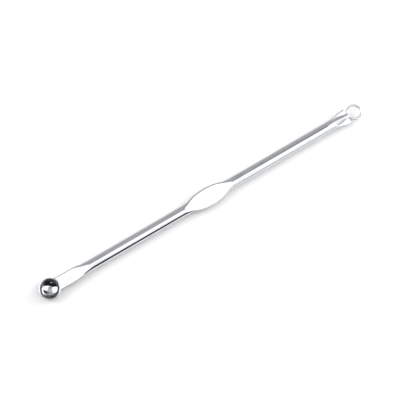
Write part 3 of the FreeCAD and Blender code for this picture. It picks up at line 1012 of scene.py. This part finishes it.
    def grid(self) -> Grid:
        """Surface of the handle: the radius carried round and along, closed at both ends.

        Near the cup each line along the neck starts on the cup's wall, a circle about the cup's axis.

        Returns:
            The closed surface.
        """
        turn = full_turn(self.columns)
        angle = (turn - self.column_crowding * np.sin(2.0 * turn))[None, :]
        x = self.stations()[:, None]
        radius = self.radius(x, angle)
        across, up = radius * np.cos(angle), radius * np.sin(angle)
        joined = self.neck_end - self.neck_coped
        share = np.clip((joined - x) / (joined - self.cup_wall), 0.0, 1.0)
        along = x + share * (self.on_cup(across) - self.cup_wall)
        body = grid_points(along, across, up + self.places.rod_radius)
        near_across, near_up = self.drawn_in(body[0], self.face_shares)
        far_across, far_up = self.drawn_in(body[-1], self.face_shares[::-1])
        near_face = grid_points(self.on_cup(near_across), near_across, near_up)
        far_face = grid_points(np.full_like(far_across, self.places.handle_end), far_across, far_up)
        ends = (self.cup_wall, self.places.handle_end)
        poles = [np.array([end, 0.0, self.places.rod_radius]) for end in ends]
        return Grid(np.concatenate([near_face, body, far_face]), poles)

    def on_cup(self, across: Array) -> Array:
        """Station of the cup's wall at a way across, which is held to the neck's reach."""
        reach = np.minimum(np.abs(across), self.neck_reach)
        return self.places.cup_x + np.sqrt(self.places.cup_radius ** 2 - reach ** 2)

    def drawn_in(self, edge: Array, shares: Point) -> tuple[Array, Array]:
        """Rows of an end face, as parts across and up: an edge drawn in towards the axis.

        Args:
            edge: Row of points that the face starts or ends at.
            shares: Size of the first and of the last row over the edge's.

        Returns:
            Way across and height of each row's points.
        """
        middle = self.places.rod_radius
        share = np.linspace(*shares, self.face_rows)[:, None]
        return edge[:, 1] * share, middle + (edge[:, 2] - middle) * share

    def build(self, finishes: Finishes) -> None:
        """Make the handle."""
        make_piece("handle_pressed", [self.grid()], ["handle"], finishes.handle_steel)


# --- Cup ---


@dataclass
class Cup:
    """Turned cup with a shallow dish, a hole through it and a full-round rim."""

    places: Places
    rim_radius: float = 0.15
    foot_round: float = 1.2
    dish_depth: float = 1.6
    dish_radius: float = 4.0
    wall_lean: float = 0.42
    corner_ease: float = 0.16
    drain_radius: float = 0.65
    ease: float = 0.02
    profile_points: int = 320
    inside_points: int = 160
    foot_points: int = 40
    rim_points: int = 60
    # place and reach of the cup's painted shade
    painted_shade_offset: Point = (0.16, 0.15)
    painted_shade_reach: Point = (-0.42, 0.20)
    columns: int = 288

    def profile(self) -> Array:
        """Closed profile from the drain's foot, up the outside and down the dish.

        Returns:
            Distance from the axis and height, of shape (profile_points, 2).
        """
        outer, top = self.places.cup_radius, self.places.cup_top
        spring = top - self.rim_radius
        bore = outer - 2.0 * self.rim_radius
        dish_centre = top - self.dish_depth + self.dish_radius
        dish_edge = bore - self.wall_lean
        edge_height = dish_centre - math.sqrt(self.dish_radius ** 2 - dish_edge ** 2)
        steepness = (spring - edge_height) / self.wall_lean
        inside = np.linspace(bore, self.drain_radius, self.inside_points)
        wall = spring - (bore - inside) * steepness
        dish = dish_centre - np.sqrt(self.dish_radius ** 2 - inside ** 2)
        foot_centre = (outer - self.foot_round, self.foot_round)
        foot = arc_points(foot_centre, self.foot_round, -90.0, 0.0, self.foot_points)
        rim = arc_points((outer - self.rim_radius, spring), self.rim_radius, 0.0, 180.0, self.rim_points)
        hollow = np.column_stack([inside, smooth_max(dish, wall, self.corner_ease)])
        corners = np.vstack([[[self.drain_radius, 0.0]], foot, rim, hollow])
        return closed_even_profile(corners, self.profile_points, self.ease)

    def painted_shade(self) -> PaintedShade:
        """Where the cup gets painted shade: a dark ring over the dish's edge, a little off the cup's middle.

        Returns:
            The ring's place and sizes.
        """
        dish_edge = self.places.cup_radius - 2.0 * self.rim_radius - self.wall_lean
        axis = ((self.places.cup_x + self.painted_shade_offset[0]) * MM, self.painted_shade_offset[1] * MM, 0.0)
        inner, outer = ((dish_edge + reach) * MM for reach in self.painted_shade_reach)
        return PaintedShade(axis, inner, outer, (self.places.cup_top - self.dish_depth) * MM)

    def grid(self) -> Grid:
        """Surface of the cup: the profile turned about the cup's upright axis.

        Returns:
            The closed surface.
        """
        distance, height = (part[:, None] for part in self.profile().T)
        turn = full_turn(self.columns)
        along = self.places.cup_x + distance * np.cos(turn)
        return Grid(grid_points(along, distance * np.sin(turn), height))

    def build(self, finishes: Finishes) -> None:
        """Make the cup."""
        make_piece("cup_turned", [self.grid()], ["cup"], finishes.turned_steel)


# --- Wire loop and its pin ---


@dataclass
class WireLoop:
    """Ring of wire and the pin that carries it."""

    places: Places
    pin_end_round: float = 0.10
    pin_follows: float = 3.0
    pin_face_shares: Point = (0.9, 0.1)
    pin_rows: int = 40
    pin_edge_rows: int = 10
    pin_face_rows: int = 8
    pin_columns: int = 96
    ring_rows: int = 220
    ring_columns: int = 72

    def __post_init__(self) -> None:
        """Work out the radius of the ring's centre line."""
        self.ring = self.places.loop_outer - self.places.wire_radius

    def ring_grid(self) -> Grid:
        """Surface of the ring: a circle of the wire's radius carried round a level circle.

        Returns:
            The closed surface.
        """
        turn, around = full_turn(self.ring_rows)[:, None], full_turn(self.ring_columns)[None, :]
        distance = self.ring - self.places.wire_radius * np.cos(around)
        along = self.places.loop_x + distance * np.cos(turn)
        up = self.places.rod_radius + self.places.wire_radius * np.sin(around)
        return Grid(grid_points(along, distance * np.sin(turn), up))

    def pin_grid(self) -> Grid:
        """Surface of the pin: a cylinder whose far end follows the ring's centre line, with its edge eased.

        The last rows shrink by a quarter circle of pin_end_round. Over pin_follows radii, a point's station
        is moved back with the square root that gives the ring's centre line at its way across.

        Returns:
            The closed surface.
        """
        radius, end_round, middle = self.places.stem_radius, self.pin_end_round, self.places.rod_radius
        start, end = self.places.stem_start, self.places.loop_x - self.ring
        turn = full_turn(self.pin_columns)[None, :]
        quarter = np.linspace(0.0, math.pi / 2.0, self.pin_edge_rows)
        straight = np.linspace(start, end - end_round, self.pin_rows, endpoint=False)
        edge = end - end_round * (1.0 - np.sin(quarter))
        edge_size = radius - end_round * (1.0 - np.cos(quarter))
        face_size = np.linspace(*self.pin_face_shares, self.pin_face_rows) * (radius - end_round)
        run = np.concatenate([straight, edge, np.full(self.pin_face_rows, end)])[:, None]
        size = np.concatenate([np.full(self.pin_rows, radius), edge_size, face_size])[:, None]
        across, up = size * np.cos(turn), size * np.sin(turn)
        back = self.ring - np.sqrt(self.ring ** 2 - across ** 2)
        along = run + back * smooth_step(run, end - self.pin_follows * radius, end - end_round)
        poles = [np.array([station, 0.0, middle]) for station in (start, end)]
        return Grid(grid_points(along, across, up + middle), poles)

    def build(self, finishes: Finishes) -> None:
        """Make the ring and the pin."""
        make_piece("loop_wire", [self.ring_grid()], ["loop_ring"], finishes.turned_steel)
        make_piece("loop_pin", [self.pin_grid()], ["loop_stem"], finishes.handle_steel)


# --- Brazing ---


@dataclass(frozen=True)
class CornerFillet:
    """Hollow fillet between a circle about the origin and a line parallel to the first axis.

    Its circle touches both: its centre is its own radius past the line, and the sum of the radii from the
    origin.
    """

    wall: float
    level: float
    radius: float
    sink: float

    def section(self, count: int) -> Array:
        """Closed section: the hollow arc from the line to the wall, then back inside both pieces.

        Args:
            count: Number of points on the arc.

        Returns:
            Points in (along the line, away from it), of shape (count + 3, 2), anticlockwise.
        """
        centre_up = self.level + self.radius
        centre_along = math.sqrt((self.wall + self.radius) ** 2 - centre_up ** 2)
        wall_angle = math.degrees(math.atan2(-centre_up, -centre_along))
        arc = arc_points((centre_along, centre_up), self.radius, -90.0, wall_angle, count)
        inner, below = self.wall - self.sink, self.level - self.sink
        back = [arc[-1] * inner / self.wall, [math.sqrt(inner ** 2 - below ** 2), below], [arc[0, 0], below]]
        return np.vstack([arc, back])


@dataclass
class Brazing:
    """Brazing in the corners where the tool's pieces join."""

    places: Places
    handle: Handle
    cup: Cup
    cup_fillet: float = 0.8
    cup_end_ease: float = 0.25
    loop_fillet: float = 0.8
    loop_half_height: float = 0.2
    wing_fillet: float = 0.45
    wing_end_ease: float = 0.3
    wing_tuck: float = 0.1
    sink: float = 0.12
    loop_sink: float = 0.36
    least_scale: float = 0.08
    arc_count: int = 20
    run_count: int = 40

    def strip(self, fillet: CornerFillet, start: float, end: float, ease: float) -> Array:
        """Fillet's section carried along a straight run, drawn in at both ends to a point inside the pieces.

        The scale is the root of 1 less the square of the share of ease that the station is into its end, so
        each end is rounded.

        Args:
            fillet: The fillet.
            start: First station.
            end: Last station.
            ease: Length of the rounding at each end.

        Returns:
            The section's two parts and the station, on the last axis of a grid.
        """
        section = fillet.section(self.arc_count)
        inner = section[-2]
        run = np.linspace(start, end, self.run_count)[:, None]
        into_end = np.maximum(ease - np.minimum(run - run[0], run[-1] - run), 0.0) / ease
        scale = np.maximum(np.sqrt(np.maximum(1.0 - into_end ** 2, 0.0)), self.least_scale)
        even = divide_closed(section, 2 * self.arc_count)
        return grid_points(*((middle + (part - middle) * scale) for middle, part in zip(inner, even.T)), run)

    def as_grid(self, along: Array, across: Array, up: Array) -> Grid:
        """Closed surface whose ends close at the middle of their rows, turned round if it faces inwards.

        Args:
            along: Stations of its points.
            across: Their ways across.
            up: Their heights.

        Returns:
            The closed surface.
        """
        points = grid_points(along, across, up)
        poles = [points[0].mean(axis=0), points[-1].mean(axis=0)]
        grid = Grid(points, poles)
        return grid if grid.volume() > 0.0 else Grid(points[:, ::-1], poles)

    def cup_corner(self, side: Side) -> Grid:
        """Fillet between the neck's side and the cup's wall.

        Args:
            side: Side of the tool.

        Returns:
            The closed surface.
        """
        fillet = CornerFillet(self.places.cup_radius, self.handle.neck_half_width, self.cup_fillet, self.sink)
        top = self.places.cup_top - self.cup.rim_radius
        along, across, up = np.moveaxis(self.strip(fillet, self.cup.foot_round, top, self.cup_end_ease), 2, 0)
        return self.as_grid(along + self.places.cup_x, across * side.value, up)

    def wing_corner(self, side: Side, upward: int) -> Grid:
        """Fillet between a wing's face and the pin.

        Args:
            side: Side of the tool.
            upward: 1 above the wing, -1 below it.

        Returns:
            The closed surface.
        """
        fillet = CornerFillet(
            self.places.stem_radius, self.handle.tail_half_height, self.wing_fillet, self.sink
        )
        end = self.places.handle_end
        start = end - self.handle.ridge_clear - self.wing_tuck
        across, up, along = np.moveaxis(self.strip(fillet, start, end, self.wing_end_ease), 2, 0)
        return self.as_grid(along, across * side.value, up * upward + self.places.rod_radius)

    def loop_corner(self, side: Side) -> Grid:
        """Fillet between the pin and the ring: a half lens whose edge is the hollow arc.

        At each station along the pin the section is an ellipse from inside the pin to the arc, which touches
        the pin's side and the ring.

        Args:
            side: Side of the tool.

        Returns:
            The closed surface.
        """
        outer, pin, hollow = self.places.loop_outer, self.places.stem_radius, self.loop_fillet
        centre_up = pin + hollow
        centre_along = math.sqrt((outer + hollow) ** 2 - centre_up ** 2)
        start = self.places.loop_x - centre_along
        end = self.places.loop_x - centre_along * outer / (outer + hollow) + self.sink
        run = np.linspace(start, end, self.run_count)[:, None]
        turn = full_turn(2 * self.arc_count)[None, :]
        edge = centre_up - np.sqrt(np.maximum(hollow ** 2 - (run - start) ** 2, 0.0))
        inner = pin - self.loop_sink
        across = (edge + inner) / 2.0 + (edge - inner) / 2.0 * np.cos(turn)
        up = self.places.rod_radius + self.loop_half_height * np.sin(turn)
        return self.as_grid(run, across * side.value, up)

    def build(self, finishes: Finishes) -> None:
        """Make the brazing of the three joints.

        Args:
            finishes: The tool's materials.
        """
        corners = {
            "cup_braze": [self.cup_corner(side) for side in Side],
            "loop_braze": [self.loop_corner(side) for side in Side],
            "stem_braze_left": [self.wing_corner(Side.LEFT, upward) for upward in (1, -1)],
            "stem_braze_right": [self.wing_corner(Side.RIGHT, upward) for upward in (1, -1)],
        }
        for node, grids in corners.items():
            make_piece(f"{node}_fillets", grids, [node], finishes.braze)


# --- Studio ---


class Facing(Enum):
    """How a card is held."""

    DOWN = "level, at a height"
    BACK = "upright, at a distance to the back"


@dataclass(frozen=True)
class Card:
    """Flat card that the polished metal shows, in the studio's axes and in metres.

    Its level is the brightness it shows, where 1 is white. Its outline is to the right and to the back where
    it faces down, and to the right and up where it faces back; its place is the third number.
    """

    name: str
    facing: Facing
    place: float
    level: float
    outline: tuple[Point, ...]
    blocks_light: bool = False

    def corners(self) -> list[Triple]:
        """Corners of the card.

        Returns:
            For each corner, how far it is to the right, to the back and up.
        """
        if self.facing is Facing.DOWN:
            return [(right, back, self.place) for right, back in self.outline]
        return [(right, self.place, up) for right, up in self.outline]


@dataclass(frozen=True)
class Softbox:
    """Rectangular lamp that hangs level overhead, in the studio's axes and in metres.

    A rectangular lamp's brightness is its power over pi times its area, so the power follows from the level.
    """

    name: str
    left_right: Point
    near_far: Point
    height: float
    level: float

    def hang(self, studio: Studio) -> None:
        """Hang the lamp.

        Args:
            studio: Where it hangs.
        """
        width, depth = (high - low for low, high in (self.left_right, self.near_far))
        lamp = bpy.data.lights.new(self.name, "AREA")
        lamp.shape = "RECTANGLE"
        lamp.size, lamp.size_y = width, depth
        lamp.energy = self.level * math.pi * width * depth
        holder = link_object(self.name, lamp)
        holder.location = studio.to_tool((sum(self.left_right) / 2.0, sum(self.near_far) / 2.0, self.height))
        holder.rotation_euler = (0.0, 0.0, math.radians(studio.turn))
        holder.visible_camera = False


SOFTBOXES = (
    Softbox("Softbox", (-0.30, 0.52), (-0.55, 0.12), 0.5, 1.25),
    Softbox("Window", (-1.0, -0.30), (-0.15, 0.35), 0.5, 3.4),
    Softbox("Far Window", (0.45, 1.15), (0.05, 0.75), 0.4, 4.0),
)

CARDS = (
    Card(
        "front_card", Facing.BACK, -0.32, 0.02,
        ((-0.55, 0.02), (0.27, 0.02), (0.27, 0.285), (-0.55, 0.285)),
        blocks_light=True,
    ),
    Card(
        "front_white_card", Facing.BACK, -0.32, 1.5,
        ((0.29, 0.17), (0.95, 0.17), (0.95, 0.50), (0.44, 0.50), (0.29, 0.32)),
    ),
    Card(
        "front_pale_card", Facing.BACK, -0.32, 0.80,
        ((0.29, 0.03), (0.62, 0.03), (0.62, 0.17), (0.29, 0.17)),
    ),
    Card(
        "front_canopy", Facing.DOWN, 0.32, 0.02,
        (
            (-0.60, -0.33), (0.10, -0.33), (-0.025, -0.115), (-0.10, -0.115),
            (-0.13, -0.078), (-0.42, -0.10), (-0.60, -0.15),
        ),
        blocks_light=True,
    ),
    Card(
        "side_card", Facing.DOWN, 0.5, 1.25,
        ((0.52, -0.32), (0.95, -0.32), (0.95, 0.10), (0.52, 0.10)),
    ),
    Card(
        "grip_card", Facing.DOWN, 0.016, 1.7,
        ((0.00146, -0.00146), (0.00874, 0.00292), (0.00462, 0.00978), (-0.00266, 0.0054)),
    ),
    Card(
        "tail_card", Facing.DOWN, 0.016, 1.7,
        ((0.03747, 0.02112), (0.05180, 0.02833), (0.04696, 0.03638), (0.03397, 0.02694)),
    ),
    Card(
        "cup_card", Facing.DOWN, 0.010, 0.02,
        ((-0.0415, -0.0340), (-0.0355, -0.0340), (-0.0295, -0.0300), (-0.0295, -0.0266), (-0.0411, -0.0266)),
    ),
    Card(
        "lamp_housing", Facing.DOWN, 0.49, 0.02,
        ((-0.08, 0.32), (0.30, 0.16), (0.60, 0.10), (0.62, 0.26), (0.36, 0.42), (-0.08, 0.345)),
    ),
)


@dataclass
class Studio:
    """Pale floor, overhead softboxes, cards, grey room and camera.

    The studio's own axes are turned about Z against the tool's: its X runs from left to right in the picture,
    and its Y from front to back. Each of the room's spans is the part of a direction over which its level
    changes.
    """

    turn: float = -31.0
    room_low: float = 0.40
    room_high: float = 0.60
    room_height_span: Point = (0.0, 0.45)
    room_right: float = 1.6
    room_right_span: Point = (0.62, 0.95)
    room_front: float = 0.18
    room_front_span: Point = (-0.45, -0.15)
    floor_size: float = 4.0
    floor_tone: float = 0.93
    # painted shade and painted light that only metal sees: the floor darker behind the tool, paler in front
    floor_behind_tone: float = 0.64
    floor_ahead_tone: float = 0.96
    floor_seam: float = 0.002
    floor_cloud_scale: float = 9.0
    floor_cloud_span: Point = (0.995, 1.005)
    camera_distance: float = 0.300
    camera_aim: Triple = (-0.00103, 0.00065, 0.0)
    camera_towards_cup: float = 8.93
    camera_towards_front: float = 8.0
    camera_roll: float = 31.45
    focal_length: float = 100.93
    sensor_width: float = 36.0
    clip_range: Point = (0.01, 20.0)

    def to_tool(self, place: Sequence[float]) -> Vector:
        """Point of the studio's axes, in metres to the right, to the back and up, in the tool's."""
        return Matrix.Rotation(math.radians(self.turn), 3, "Z") @ Vector(place)

    def add_room(self) -> None:
        """Plain surroundings: darker low and in front, bright past the loop, white where seen directly."""
        world = bpy.data.worlds.new("Grey Room")
        tree = Tree.of(world)
        direction = tree.add("ShaderNodeTexCoord").outputs["Generated"]
        height, along = (tree.part(direction, axis) for axis in "ZX")
        away = tree.vector("DOT_PRODUCT", direction, self.to_tool((0.0, 1.0, 0.0)), output="Value")
        level = tree.ramp(height, *self.room_height_span, self.room_low, self.room_high)
        extra = tree.ramp(along, *self.room_right_span, 0.0, self.room_right - self.room_high)
        behind = tree.math("ADD", level, extra)
        shown = tree.ramp(away, *self.room_front_span, self.room_front, behind)
        seen = tree.add("ShaderNodeLightPath").outputs["Is Camera Ray"]
        strength = tree.ramp(seen, 0.0, 1.0, shown, 1.0)
        room = tree.add("ShaderNodeBackground", {"Color": (1.0, 1.0, 1.0, 1.0), "Strength": strength})
        tree.add("ShaderNodeOutputWorld", {"Surface": room.outputs[0]})
        bpy.context.scene.world = world

    @staticmethod
    def add_sheet(name: str, corners: Sequence[Sequence[float]], title: str) -> tuple[bpy.types.Object, Tree]:
        """Add a flat sheet of the studio, which isn't part of the tool.

        Args:
            name: Name of the sheet.
            corners: Its corners, in metres in the tool's axes.
            title: Name of its material.

        Returns:
            The sheet and its material's node tree, still empty.
        """
        mesh = bpy.data.meshes.new(name)
        mesh.from_pydata(corners, [], [tuple(range(len(corners)))])
        sheet = link_object(name, mesh)
        material = bpy.data.materials.new(title)
        mesh.materials.append(material)
        return sheet, Tree.of(material)

    def add_floor(self) -> None:
        """White matt floor, faintly cloudy; only metal sees painted light and shade on it, paler in front of
        the tool than behind it.
        """
        half = self.floor_size / 2.0
        corners = [(-half, -half, 0.0), (half, -half, 0.0), (half, half, 0.0), (-half, half, 0.0)]
        tree = self.add_sheet("studio_floor", corners, "White Sheet")[1]
        place = tree.add("ShaderNodeTexCoord").outputs["Object"]
        clouds = tree.noise(place, scale=self.floor_cloud_scale, detail=3.0)
        drift = tree.ramp(clouds, 0.0, 1.0, *self.floor_cloud_span)
        # painted light and shade, seen only by glossy rays: darker behind the tool, paler in front of it
        tones = (self.floor_ahead_tone, self.floor_behind_tone)
        in_metal = tree.ramp(tree.part(place, "Y"), -self.floor_seam, self.floor_seam, *tones)
        glossy = tree.add("ShaderNodeLightPath").outputs["Is Glossy Ray"]
        tone = tree.ramp(glossy, 0.0, 1.0, self.floor_tone, in_metal)
        paint = tree.add("ShaderNodeBsdfDiffuse", {"Color": tree.math("MULTIPLY", tone, drift)})
        tree.add("ShaderNodeOutputMaterial", {"Surface": paint.outputs[0]})

    def add_card(self, card: Card) -> None:
        """Stand one card up.

        Args:
            card: Its corners and level.
        """
        corners = [self.to_tool(corner) for corner in card.corners()]
        sheet, tree = self.add_sheet(f"studio_{card.name}", corners, f"Studio {card.name}")
        sheet.visible_camera = False
        sheet.visible_diffuse = card.blocks_light
        sheet.visible_shadow = card.blocks_light
        glow = tree.add("ShaderNodeEmission", {"Strength": card.level})
        tree.add("ShaderNodeOutputMaterial", {"Surface": glow.outputs[0]})

    def add_camera(self) -> None:
        """Camera above the tool, looking down at it, slightly from the cup's end and from the front."""
        towards_cup = math.sin(math.radians(self.camera_towards_cup))
        towards_front = math.sin(math.radians(self.camera_towards_front))
        back = Vector((-towards_cup, -towards_front, math.sqrt(1.0 - towards_cup ** 2 - towards_front ** 2)))
        level = (Vector((0.0, 1.0, 0.0)) - back * back.y).normalized()
        along = level.cross(back)
        roll = math.radians(self.camera_roll)
        right = along * math.cos(roll) - level * math.sin(roll)
        up = along * math.sin(roll) + level * math.cos(roll)
        data = bpy.data.cameras.new("Camera")
        data.lens = self.focal_length
        data.sensor_width = self.sensor_width
        data.clip_start, data.clip_end = self.clip_range
        camera = link_object("Camera", data)
        turned = Matrix((right, up, back)).transposed().to_4x4()
        place = Vector(self.camera_aim) + back * self.camera_distance
        camera.matrix_world = Matrix.Translation(place) @ turned
        bpy.context.scene.camera = camera

    def build(self) -> None:
        """Set up the studio and the view."""
        bpy.context.scene.view_settings.view_transform = "Standard"
        self.add_room()
        self.add_floor()
        for softbox in SOFTBOXES:
            softbox.hang(self)
        for card in CARDS:
            self.add_card(card)
        self.add_camera()


# --- Whole tool ---


def main() -> None:
    """Build the tool's pieces and the studio."""
    logging.basicConfig(level=logging.INFO, format="%(message)s")
    places = Places.from_frame()
    handle = Handle(places)
    cup = Cup(places)
    # the cup's painted shade goes into the turned steel
    finishes = Finishes(cup.painted_shade(), handle.neck_end)
    handle.build(finishes)
    cup.build(finishes)
    WireLoop(places).build(finishes)
    Brazing(places, handle, cup).build(finishes)
    Studio().build()


if __name__ == "__main__":
    main()
